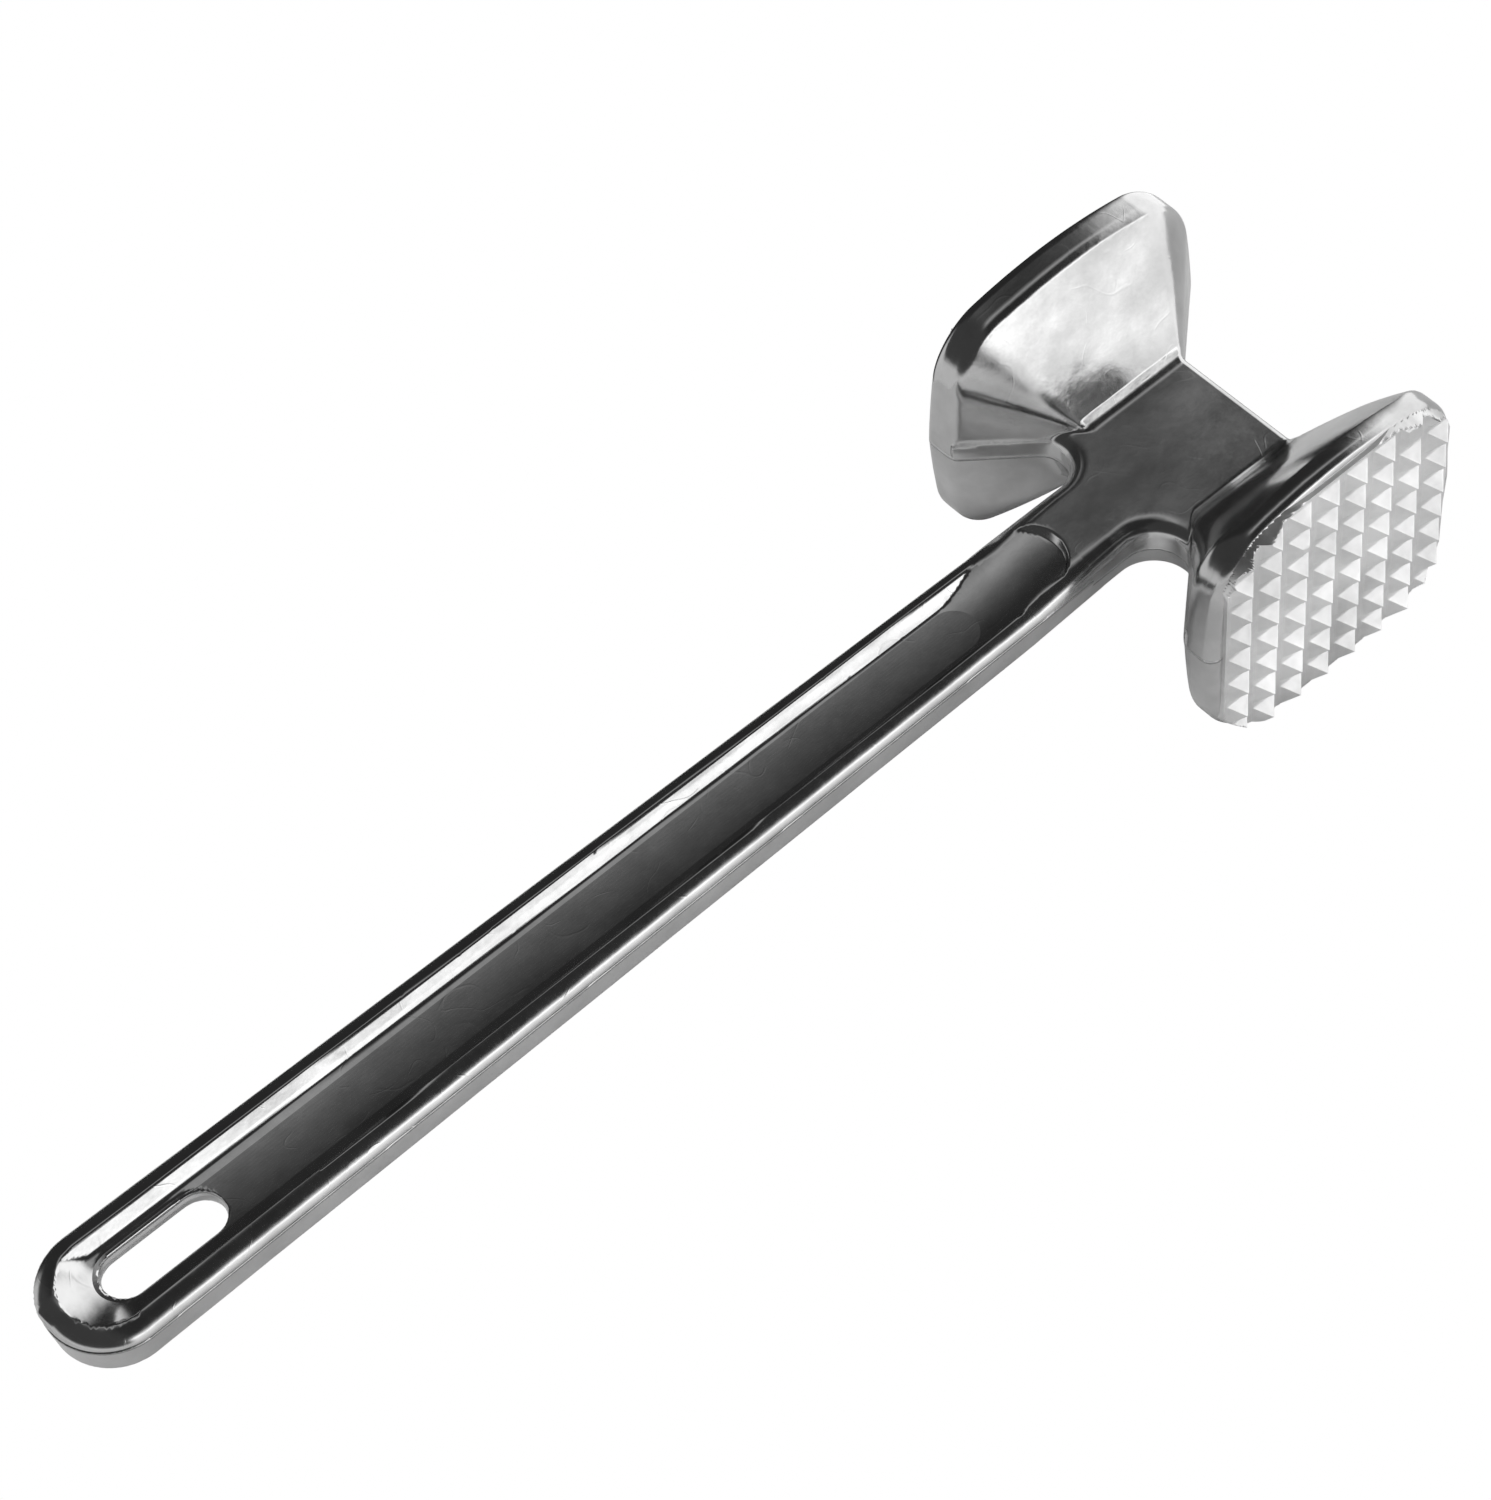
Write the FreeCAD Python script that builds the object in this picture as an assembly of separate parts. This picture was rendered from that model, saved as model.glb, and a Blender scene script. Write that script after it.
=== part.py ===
"""Two-faced meat mallet, die-cast in aluminium in one pour.

The casting is divided on plane joints into the regions that a user would name:
hanging_loop, handle_bar, neck, head_block, and for each striking side a plate
and its field of teeth. Neighbouring regions meet face to face.

Modelling frame: millimetres, +X from the loop towards the head, +Z up, the
parting plane of the die at z = 0 and the centre of the head block at the
origin. The coarse teeth point along -Y. place() then moves each region so that
the origin is at the middle of the bounding box, on its lowest plane.
"""
import FreeCAD
import Part

import math
import os

V = FreeCAD.Vector

# ---- driving dimensions, in millimetres ----
OVERALL_LENGTH = 239.4

# striking plates, alike on both sides
RIM_HALF_X = 25.4            # half the rim's height along the handle's direction
RIM_HALF_Z = 24.4
RIM_BULGE_X = 100.0          # radius of the rim's gently bulged -X and +X sides
RIM_BULGE_Z = 75.0           # and of its lower and upper sides
RIM_CORNER_RADIUS = 14.0
RIM_INNER_Y = 24.4           # where the flare ends and the rim band begins
COARSE_FACE_Y = 29.9         # the flats that the teeth stand on
FINE_FACE_Y = 30.5
RIM_OUTER_ROUND = 1.9
RIM_INNER_ROUND = 0.9

# head block between the plates
BLOCK_HALF_X = 10.6
BLOCK_HALF_Y = 11.8
HALF_THICKNESS = 5.1         # block, neck and handle are all this far from the parting plane
BLOCK_CORNER_RADIUS = 0.8
BLOCK_BULGE = 900.0          # almost straight sides, so that they loft to the rim's arcs

# coarse teeth
COARSE_PITCH = 5.75
COARSE_ACROSS = 8
COARSE_HEIGHT = COARSE_PITCH / 2

# fine teeth
FINE_PITCH = 3.6
FINE_ACROSS = 11
FINE_HEIGHT = 1.6

TOOTH_ROOT = 0.8             # depth, below the face, of the layer that carries the teeth

# handle
END_RADIUS = 9.4             # round end of the handle, at the parting plane
NECK_HALF_WIDTH = 6.75       # at the parting plane, where the neck begins
NECK_X = -27.0               # where the channelled bar ends and the neck begins
DRAFT_INSET = 0.3            # how far the flanks lean in from the parting plane to the flats
HANDLE_EDGE_ROUND = 1.9
NECK_FILLET = 5.2            # between the neck's flanks and the plates

# channel along each flat of the handle
CHANNEL_LOOP_RADIUS = 6.1
CHANNEL_HEAD_RADIUS = 5.2
CHANNEL_LOOP_X = -204.4
CHANNEL_HEAD_X = -33.1
CHANNEL_DEPTH = 2.1
CHANNEL_WALL_RUN = 0.9       # how far the channel's walls lean in between rim and floor

# hang slot through the channel's floor, narrowest at the parting plane
SLOT_END_X = -204.6
SLOT_HEAD_END_X = -184.7
SLOT_HALF_WIDTH = 3.6
SLOT_FLARE = 1.5             # how much wider all round it is at the channel's floor
LOOP_X = -180.0              # where the loop meets the channelled bar

# ---- dimensions that follow ----
LOOP_END_X = RIM_HALF_X - OVERALL_LENGTH
BAR_END_CENTRE_X = LOOP_END_X + END_RADIUS
COARSE_TIP_Y = COARSE_FACE_Y + COARSE_HEIGHT
FINE_TIP_Y = FINE_FACE_Y + FINE_HEIGHT
FLOOR_Z = HALF_THICKNESS - CHANNEL_DEPTH


def tangent_hull(x1, r1, x2, r2, z):
    """Closed outline at height z round two circles on the X axis, with straight tangents."""
    lean = math.asin((r1 - r2) / (x2 - x1))
    run, rise = math.sin(lean), math.cos(lean)
    a = V(x1 + r1 * run, r1 * rise, z)
    b = V(x2 + r2 * run, r2 * rise, z)
    c = V(b.x, -b.y, z)
    d = V(a.x, -a.y, z)
    edges = [
        Part.LineSegment(a, b).toShape(),
        Part.Arc(b, V(x2 + r2, 0, z), c).toShape(),
        Part.LineSegment(c, d).toShape(),
        Part.Arc(d, V(x1 - r1, 0, z), a).toShape(),
    ]
    return Part.Wire(edges)


def bulged_rectangle(y, half_x, half_z, bulge_x, bulge_z, corner_radius):
    """Closed outline in the plane y: four bulged sides joined by tangent corner arcs."""
    # the corner circle touches the circles of its two sides from inside
    centre_x = V(half_x - bulge_x, y, 0)
    centre_z = V(0, y, half_z - bulge_z)
    reach_x, reach_z = bulge_x - corner_radius, bulge_z - corner_radius
    between = centre_z - centre_x
    gap = between.Length
    between.normalize()
    along = (reach_x ** 2 - reach_z ** 2 + gap ** 2) / (2 * gap)
    aside = math.sqrt(reach_x ** 2 - along ** 2)
    corner = centre_x + between * along + V(-between.z, 0, between.x) * aside

    # where the corner circle meets the +X side and the +Z side, and its middle
    to_x_side = (corner - centre_x).normalize() * corner_radius
    to_z_side = (corner - centre_z).normalize() * corner_radius
    near_x = corner + to_x_side
    near_z = corner + to_z_side
    middle = corner + (to_x_side + to_z_side).normalize() * corner_radius

    def at(p, sx, sz):
        return V(p.x * sx, y, p.z * sz)

    edges = []
    for sx, sz in ((1, 1), (-1, 1), (-1, -1), (1, -1)):
        onward = sx * sz > 0
        start, end = (near_x, near_z) if onward else (near_z, near_x)
        side_middle = V(0, y, half_z * sz) if onward else V(half_x * sx, y, 0)
        side_end = at(end, -sx, sz) if onward else at(end, sx, -sz)
        edges.append(Part.Arc(at(start, sx, sz), at(middle, sx, sz), at(end, sx, sz)).toShape())
        edges.append(Part.Arc(at(end, sx, sz), side_middle, side_end).toShape())
    return Part.Wire(edges)


def rim_outline(y):
    return bulged_rectangle(y, RIM_HALF_X, RIM_HALF_Z, RIM_BULGE_X, RIM_BULGE_Z, RIM_CORNER_RADIUS)


def block_outline(y):
    return bulged_rectangle(y, BLOCK_HALF_X, HALF_THICKNESS, BLOCK_BULGE, BLOCK_BULGE, BLOCK_CORNER_RADIUS)


def edges_in_plane(shape, axis, value):
    """The edges whose whole length lies in the plane axis = value."""
    found = []
    for edge in shape.Edges:
        box = edge.BoundBox
        low, high = getattr(box, axis + "Min"), getattr(box, axis + "Max")
        if abs(low - value) < 1e-4 and abs(high - value) < 1e-4:
            found.append(edge)
    return found


LEVELS = ((-HALF_THICKNESS, DRAFT_INSET), (0, 0), (HALF_THICKNESS, DRAFT_INSET))


def drafted(outline):
    """A solid through outline(z, inset), widest at the parting plane."""
    levels = [outline(z, inset) for z, inset in LEVELS]
    solid = Part.makeLoft(levels[:2], True, True).fuse(Part.makeLoft(levels[1:], True, True))
    return solid.removeSplitter()


def handle():
    """The whole handle, from its round end to the neck, before it is divided."""
    def outline(z, inset):
        return tangent_hull(BAR_END_CENTRE_X, END_RADIUS - inset, NECK_X, NECK_HALF_WIDTH - inset, z)

    bar = drafted(outline)
    rims = edges_in_plane(bar, "Z", HALF_THICKNESS) + edges_in_plane(bar, "Z", -HALF_THICKNESS)
    bar = bar.makeFillet(HANDLE_EDGE_ROUND, rims)
    for side in (1, -1):
        bar = bar.cut(channel(side)).cut(half_slot(side))
    return bar


def channel(side):
    """The pocket sunk into one flat of the handle, with leaning walls and round ends."""
    mouth_z = side * HALF_THICKNESS
    floor_z = side * FLOOR_Z
    mouth = tangent_hull(CHANNEL_LOOP_X, CHANNEL_LOOP_RADIUS, CHANNEL_HEAD_X, CHANNEL_HEAD_RADIUS, mouth_z)
    floor = tangent_hull(CHANNEL_LOOP_X, CHANNEL_LOOP_RADIUS - CHANNEL_WALL_RUN,
                         CHANNEL_HEAD_X, CHANNEL_HEAD_RADIUS - CHANNEL_WALL_RUN, floor_z)
    return Part.makeLoft([floor, mouth], True, True)


def half_slot(side):
    """The hang slot's half on one side of the parting plane, which it leaves wider than it starts."""
    end = SLOT_END_X + SLOT_HALF_WIDTH
    head_end = SLOT_HEAD_END_X - SLOT_HALF_WIDTH
    flared = SLOT_HALF_WIDTH + SLOT_FLARE
    waist = tangent_hull(end, SLOT_HALF_WIDTH, head_end, SLOT_HALF_WIDTH, 0)
    opening = tangent_hull(end, flared, head_end, flared, side * FLOOR_Z)
    return Part.makeLoft([waist, opening], True, True)


def between_x(shape, low, high):
    """The part of a shape that lies between two planes across the handle."""
    size = OVERALL_LENGTH
    return shape.common(Part.makeBox(high - low, size, size, V(low, -size / 2, -size / 2)))


def head_block():
    """The rectangular core that carries both plates."""
    return Part.Face(block_outline(-BLOCK_HALF_Y)).extrude(V(0, 2 * BLOCK_HALF_Y, 0))


def plate(face_y):
    """A striking plate on the +Y side: a flare from the block's section to the rim, then the rim band."""
    flare = Part.makeLoft([block_outline(BLOCK_HALF_Y), rim_outline(RIM_INNER_Y)], True, True)
    band = Part.Face(rim_outline(RIM_INNER_Y)).extrude(V(0, face_y - RIM_INNER_Y, 0))
    band = band.makeFillet(RIM_OUTER_ROUND, edges_in_plane(band, "Y", face_y))
    band = band.makeFillet(RIM_INNER_ROUND, edges_in_plane(band, "Y", RIM_INNER_Y))
    return band.fuse(flare)


def tooth_field(base_y, pitch, across, height):
    """One solid of square pyramids on a thin root layer, on the +Y side.

    A pyramid is left out where most of its outer quarter would lie past the rim's
    outline, and what is left of the others is trimmed to that outline."""
    root_y = base_y - TOOTH_ROOT
    face = Part.Face(rim_outline(base_y))
    first = -pitch * across / 2

    def line(i):
        return first + i * pitch

    cells = set()
    for i in range(across):
        for k in range(across):
            quarters = [V(line(i + di), base_y, line(k + dk)) for di in (0.25, 0.75) for dk in (0.25, 0.75)]
            if all(face.isInside(q, 1e-6, True) for q in quarters):
                cells.add((i, k))

    faces = []
    for i, k in sorted(cells):
        x0, x1, z0, z1 = line(i), line(i + 1), line(k), line(k + 1)
        tip = V((x0 + x1) / 2, base_y + height, (z0 + z1) / 2)
        ring = [V(x0, base_y, z0), V(x1, base_y, z0), V(x1, base_y, z1), V(x0, base_y, z1)]
        for a, b in zip(ring, ring[1:] + ring[:1]):
            faces.append(Part.Face(Part.makePolygon([a, b, tip, a])))
        faces.append(Part.Face(Part.makePolygon([V(p.x, root_y, p.z) for p in ring + ring[:1]])))
        neighbours = ((i, k - 1), (i + 1, k), (i, k + 1), (i - 1, k))
        for neighbour, a, b in zip(neighbours, ring, ring[1:] + ring[:1]):
            if neighbour not in cells:
                a_root, b_root = V(a.x, root_y, a.z), V(b.x, root_y, b.z)
                faces.append(Part.Face(Part.makePolygon([a, b, b_root, a_root, a])))
    shell = Part.makeShell(faces)
    shell.sewShape()
    below = Part.Face(rim_outline(root_y))
    return Part.makeSolid(shell).common(below.extrude(V(0, TOOTH_ROOT + height, 0)))


def neck_outline(z, inset):
    """The neck at height z: two flanks that flare into the plates on arcs."""
    half_width = NECK_HALF_WIDTH - inset
    fillet = NECK_FILLET + inset
    # one plate's flare in plan is the line from the block's corner to the rim
    corner = V(-BLOCK_HALF_X, BLOCK_HALF_Y, z)
    along_flare = (V(-RIM_HALF_X, RIM_INNER_Y, z) - corner).normalize()
    meeting = corner - along_flare * ((corner.y - half_width) / along_flare.y)
    half_opening = math.atan2(along_flare.y, -along_flare.x) / 2
    tangent = fillet / math.tan(half_opening)
    on_flank = meeting + V(-tangent, 0, 0)
    on_flare = meeting + along_flare * tangent
    bisector = V(-math.cos(half_opening), math.sin(half_opening), 0)
    nearest = meeting + bisector * (fillet / math.sin(half_opening) - fillet)
    start = V(NECK_X, half_width, z)
    inner = V(-BLOCK_HALF_X, on_flare.y, z)

    def opposite(p):
        return V(p.x, -p.y, p.z)

    edges = [
        Part.LineSegment(start, on_flank).toShape(),
        Part.Arc(on_flank, nearest, on_flare).toShape(),
        Part.LineSegment(on_flare, inner).toShape(),
        Part.LineSegment(inner, opposite(inner)).toShape(),
        Part.LineSegment(opposite(inner), opposite(on_flare)).toShape(),
        Part.Arc(opposite(on_flare), opposite(nearest), opposite(on_flank)).toShape(),
        Part.LineSegment(opposite(on_flank), opposite(start)).toShape(),
        Part.LineSegment(opposite(start), start).toShape(),
    ]
    return Part.Wire(edges)


def neck(block, plates):
    """The flat bar between handle and head, flared into the plates on both sides."""
    solid = drafted(neck_outline)
    flats = edges_in_plane(solid, "Z", HALF_THICKNESS) + edges_in_plane(solid, "Z", -HALF_THICKNESS)
    ends = edges_in_plane(solid, "X", NECK_X) + edges_in_plane(solid, "X", -BLOCK_HALF_X)
    flanks = [e for e in flats if not any(e.isSame(end) for end in ends)]
    solid = solid.makeFillet(HANDLE_EDGE_ROUND, flanks)
    for other in [block] + plates:
        solid = solid.cut(other)
    return solid


def mirrored(shape):
    """The same shape on the -Y side."""
    return shape.mirror(V(0, 0, 0), V(0, 1, 0))


def place(shape):
    """Moves a region from the head block's centre to the origin under the middle of the box."""
    middle_x = RIM_HALF_X - OVERALL_LENGTH / 2
    middle_y = (FINE_TIP_Y - COARSE_TIP_Y) / 2
    placed = shape.copy()
    placed.translate(V(-middle_x, -middle_y, RIM_HALF_Z))
    return placed


def regions():
    """Every named region of the casting, in the modelling frame."""
    bar = handle()
    block = head_block()
    fine_blank = plate(FINE_FACE_Y)
    coarse_blank = mirrored(plate(COARSE_FACE_Y))
    fine_teeth = tooth_field(FINE_FACE_Y, FINE_PITCH, FINE_ACROSS, FINE_HEIGHT)
    coarse_teeth = mirrored(tooth_field(COARSE_FACE_Y, COARSE_PITCH, COARSE_ACROSS, COARSE_HEIGHT))
    return {
        "hanging_loop": between_x(bar, LOOP_END_X, LOOP_X),
        "handle_bar": between_x(bar, LOOP_X, NECK_X),
        "neck": neck(block, [fine_blank, coarse_blank]),
        "head_block": block,
        "fine_plate": fine_blank.cut(fine_teeth),
        "fine_teeth": fine_teeth,
        "coarse_plate": coarse_blank.cut(coarse_teeth),
        "coarse_teeth": coarse_teeth,
    }


def main():
    os.makedirs("parts", exist_ok=True)
    for name, shape in regions().items():
        region = place(shape)
        region.exportStep(os.path.join("parts", name + ".step"))
        print(f"{name:14s} solids {len(region.Solids)}  valid {region.isValid()}  volume {region.Volume:9.1f}")


main()
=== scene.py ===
"""Polished cast aluminium meat mallet, lying on a pale floor."""

import math

import bmesh
import bpy
import numpy as np
from mathutils import Matrix, Vector


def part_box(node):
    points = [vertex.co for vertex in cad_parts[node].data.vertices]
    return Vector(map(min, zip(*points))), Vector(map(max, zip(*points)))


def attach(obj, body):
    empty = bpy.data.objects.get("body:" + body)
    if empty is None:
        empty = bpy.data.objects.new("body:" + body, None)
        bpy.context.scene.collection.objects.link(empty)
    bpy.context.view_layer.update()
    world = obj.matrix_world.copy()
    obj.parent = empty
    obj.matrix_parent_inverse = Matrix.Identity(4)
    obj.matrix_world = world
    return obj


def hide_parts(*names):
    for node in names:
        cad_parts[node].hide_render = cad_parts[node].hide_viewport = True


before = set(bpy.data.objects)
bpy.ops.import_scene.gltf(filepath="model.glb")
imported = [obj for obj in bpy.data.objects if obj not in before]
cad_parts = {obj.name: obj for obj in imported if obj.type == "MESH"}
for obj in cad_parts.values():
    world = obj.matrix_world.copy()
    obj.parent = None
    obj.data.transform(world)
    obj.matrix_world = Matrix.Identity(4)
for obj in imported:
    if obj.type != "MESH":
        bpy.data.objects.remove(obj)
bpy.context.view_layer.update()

MM = 0.001

# ---------------------------------------------------------------- dimensions, in millimetres
# Shapes are worked out in the casting's own coordinates: millimetres from the middle of the
# head block, +X towards the head's outer end, +Y towards the fine teeth, z = 0 the parting plane.
BLOCK_LOW, BLOCK_HIGH = (np.array(corner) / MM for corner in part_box("head_block"))
HEAD = (BLOCK_LOW + BLOCK_HIGH) / 2
BLOCK_X, BLOCK_Y, HALF_THICKNESS = (BLOCK_HIGH - BLOCK_LOW) / 2


def node_box(node):
    """A node's lowest and highest corners, in the casting's coordinates."""
    low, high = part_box(node)
    return np.array(low) / MM - HEAD, np.array(high) / MM - HEAD


LOOP_LOW, LOOP_HIGH = node_box("hanging_loop")
NECK_LOW = node_box("neck")[0]
RIM_HIGH = node_box("coarse_plate")[1]
LOOP_X = LOOP_HIGH[0]
NECK_X = NECK_LOW[0]
RIM_X, RIM_Z = RIM_HIGH[0], RIM_HIGH[2]
COARSE_TIP = -node_box("coarse_teeth")[0][1]
FINE_TIP = node_box("fine_teeth")[1][1]

# handle: its plan tapers from the loop to the neck; half widths are taken at the parting line,
# which runs a little above the middle of the bar
END_RADIUS = LOOP_HIGH[1] + 0.5
END_X = LOOP_LOW[0] + END_RADIUS
NECK_RADIUS = 7.4
TAPER_END_X = -20.0
PARTING_RISE = 1.2
PARTING_FALL = 0.6                      # share of that rise which is gone at the flat neck
EDGE_RADIUS = 3.1                       # upper edge, between the two turns
EDGE_TURN = math.radians(18)            # how far the wall leans in at the parting line
CROWN_TURN = math.radians(47)
CROWN_RADIUS = 5.0                      # from there over to the top; the neck has no crown
FLAT_START_X, FLAT_FULL_X = -38.0, -22.0    # the bar's section changes to the neck's between these
DIE_SHIFT, DIE_SHIFT_RUN = 0.8, 1.2     # the upper half is fuller on the fine teeth's side
DIE_SHIFT_FADE = 3.0                    # it reaches its full size this far from the middle
LOWER_DRAFT, LOWER_DRAFT_GAIN = 0.16, 0.7   # the wall's lean below the parting line, more at the neck
LOWER_ROUND = 1.0

# channel
CHANNEL_LOOP_X, CHANNEL_LOOP_RADIUS = -204.0, 6.95
CHANNEL_HEAD_X, CHANNEL_HEAD_RADIUS = -33.1, 5.7
CHANNEL_MOUTH_Z = 3.6
CHANNEL_DEPTH = 3.9
CHANNEL_RISE_X, CHANNEL_RISE = -48.0, 2.2                   # the floor climbs from here to the neck
LOOP_RISE_X, LOOP_RISE_RUN, LOOP_RISE = -203.0, 8.0, 2.6    # and from here to the loop's end
CHANNEL_LEAN, CHANNEL_LEAN_CHANGE = 0.65, 0.33              # its wall leans more by the fine teeth
CHANNEL_TROUGH_RADIUS = 22.0
CHANNEL_OFFSET = 0.25        # towards the fine teeth, as the upper half of the bar is
CHANNEL_FLOOR_ROUND = 0.15
CHANNEL_MOUTH_ROUND = 0.2
WALL_SCALE = 0.75            # brings the leaning walls' function nearer to a true distance

# hang slot
SLOT_RADIUS = 3.6
SLOT_START_X, SLOT_STOP_X = -201.0, -188.3
SLOT_OFFSET, SLOT_DRAFT = 0.3, 0.17
SLOT_DRAFT_HEIGHT = 2.5
SLOT_EDGE_ROUND = 0.2
SLOT_SCALE = 0.8             # like WALL_SCALE
FUNNEL_START = 1.2           # above this the slot widens, except by the coarse teeth
FUNNEL_STOP_X, FUNNEL_STOP_RADIUS = SLOT_STOP_X - 3, CHANNEL_LOOP_RADIUS - 0.2
FUNNEL_FADE = 3.0            # and the widening is full this far from the middle

# striking plates
RIM_INNER_Y = 24.4
TOP_SHARE = 0.94             # the flares' upper and lower faces rise less steeply than their ends
COARSE_HEIGHT, FINE_HEIGHT = 2.875, 1.6
COARSE_FACE = COARSE_TIP - COARSE_HEIGHT
FINE_FACE = FINE_TIP - FINE_HEIGHT
RIM_BULGE_X, RIM_BULGE_Z = 144.0, 75.0
RIM_DRAFT = 0.05             # how fast the rim's sides lean in, away from the parting plane
FLARE_DRAFT = 0.06
FLARE_SCALE = 0.6            # like WALL_SCALE
FLARE_REACH = (-0.3, 1.6)    # the flare's slope goes on past both its ends, as shares of its length
FLARE_LEAST_CORNER = 0.1
RIM_CORNER = 7.6             # with the bulges it meets, this looks like a 14 mm corner
RIM_OUTER_ROUND = 1.9
INNER_ROUND = 0.9
SHOULDER_Y, SHOULDER_SLOPE = 26.9, 0.84     # the coarse plate's rim is bevelled on its inner side
SHOULDER_SCALE = 0.76        # like WALL_SCALE
BLOCK_CORNER = 0.8
BLOCK_DRAFT = 0.06
BLOCK_OVERLAP, PLATE_OVERLAP = 4.0, 6.0     # how far the block and the plates run into each other
FLARE_CORNER = 7.0           # corner radius of the flare where it meets the rim
FLARE_SINK = 0.5             # how far inside the block the flares start
BAND_SINK, BAND_DIP = 0.9, 1.0      # the same for a 45 degree band, and its start below the flats
PLATE_FILLET = 0.5           # between the block's flats and the plates
NECK_FILLET = 5.2            # between the neck's flanks and the plates

# teeth
COARSE_PITCH, COARSE_ACROSS = 5.75, 8
FINE_PITCH, FINE_ACROSS = 3.6, 11
COARSE_STEPS, FINE_STEPS = 24, 16           # mesh steps across one tooth
COARSE_INSET, FINE_INSET = 0.5, 3.0         # how far inside the rim's outline the teeth stop
TOOTH_ROOT = 0.8
TOOTH_BASE = 0.79            # a tooth's width at its foot, as a share of the pitch; the rest is valley
RIDGE_BLEND, VALLEY_BLEND = 0.04, 0.12      # softness of a tooth's ridges and of its foot
TIP_FLAT = 0.03
CLIFF_SLOPE = 2.5            # how steeply the field of teeth ends at the rim
DENTS = ((2.5, 3.5, 0.55), (-1.5, 2.5, 0.8))    # place in pitches, and the share of height left
DENT_SLANT = 0.25

CELL = 0.5                   # grid step of the surface mesh
SLAB = 32                    # grid layers worked out at a time


# ---------------------------------------------------------------- distance functions
def round_max(a, b, r):
    """Intersection of two solids, its edge rounded to radius r."""
    return np.minimum(np.maximum(a, b), -r) + np.hypot(np.maximum(a + r, 0), np.maximum(b + r, 0))


def round_min(a, b, r):
    """Union of two solids with a fillet of radius r."""
    return -round_max(-a, -b, r)


def ease(t):
    """0 before 0 and 1 after 1, with a smooth climb between."""
    t = np.clip(t, 0, 1)
    return t * t * (3 - 2 * t)


def tapered_slot(x, y, x1, r1, x2, r2):
    """Signed distance to the hull of two circles on the X axis."""
    u, v, run = x - x1, np.abs(y), x2 - x1
    slope = (r1 - r2) / run
    level = math.sqrt(1 - slope * slope)
    along = level * u - slope * v
    side = level * v + slope * u - r1
    start = np.hypot(u, v) - r1
    end = np.hypot(u - run, v) - r2
    return np.where(along < 0, start, np.where(along > level * run, end, side))


def bulged_outline(x, z, half_x, half_z, corner, bulge, draft):
    """Signed distance to a rectangle with bulged sides and round corners; bulge fades from 1 to 0."""
    side = np.abs(x) + bulge * z * z / (2 * RIM_BULGE_X) - half_x + draft * np.abs(z)
    top = np.abs(z) + bulge * x * x / (2 * RIM_BULGE_Z) - half_z
    return round_max(side, top, corner)


def rim_outline(x, z):
    """Signed distance to the rim's outline."""
    return bulged_outline(x, z, RIM_X, RIM_Z, RIM_CORNER, 1.0, RIM_DRAFT)


def plate_distance(x, y, z, face, shoulder_y):
    """A striking plate on the +Y side: a flare with sharp corners, cut by the rim's round outline.

    A bevel on the rim's inner side starts at shoulder_y."""
    base = BLOCK_Y - FLARE_SINK
    t = np.clip((y - base) / (RIM_INNER_Y - base), *FLARE_REACH)
    half_z = HALF_THICKNESS + (RIM_Z - HALF_THICKNESS) * t * TOP_SHARE
    band = HALF_THICKNESS + np.maximum(y - BLOCK_Y + BAND_SINK, -BAND_DIP)
    half_z = np.maximum(half_z, band)
    flare = bulged_outline(
        x, z,
        BLOCK_X + (RIM_X - BLOCK_X) * t,
        half_z,
        np.maximum(BLOCK_CORNER + (FLARE_CORNER - BLOCK_CORNER) * t, FLARE_LEAST_CORNER),
        np.clip(t, 0, 1),
        FLARE_DRAFT,
    ) * FLARE_SCALE
    top = RIM_Z - x * x / (2 * RIM_BULGE_Z) - SHOULDER_SLOPE * (shoulder_y - y)
    flare = round_max(flare, (np.abs(z) - top) * SHOULDER_SCALE, INNER_ROUND)
    body = round_max(flare, rim_outline(x, z), INNER_ROUND)
    body = round_max(body, y - face, RIM_OUTER_ROUND)
    return np.maximum(body, BLOCK_Y - PLATE_OVERLAP - y)


def neck_outline(x, y):
    """The handle and neck in plan; each flank runs round a true arc into a plate's flare."""
    v = np.abs(y)
    flank = np.minimum(
        tapered_slot(x, y, END_X, END_RADIUS, TAPER_END_X, NECK_RADIUS),
        np.maximum(v - NECK_RADIUS, TAPER_END_X - x))
    rise, out = RIM_INNER_Y - BLOCK_Y, RIM_X - BLOCK_X
    scale = math.hypot(rise, out)
    flare = (-(v - BLOCK_Y) * out - (x + BLOCK_X) * rise) / scale
    flare = np.maximum(flare, v - RIM_INNER_Y)
    # the arc's centre stands off both the flank and the flare's line by the fillet radius
    centre_v = NECK_RADIUS + NECK_FILLET
    centre_x = -BLOCK_X - (NECK_FILLET * scale + (centre_v - BLOCK_Y) * out) / rise
    dx, dv = x - centre_x, v - centre_v
    to_flare = dx * scale / rise                 # (dx, dv) as a sum of the two tangent directions
    to_flank = to_flare * out / scale - dv
    arc = NECK_FILLET - np.hypot(dx, dv)
    plan = np.where((to_flare > 0) & (to_flank > 0), arc, np.minimum(flank, flare))
    return np.maximum(plan, x + BLOCK_X / 2)


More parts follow.
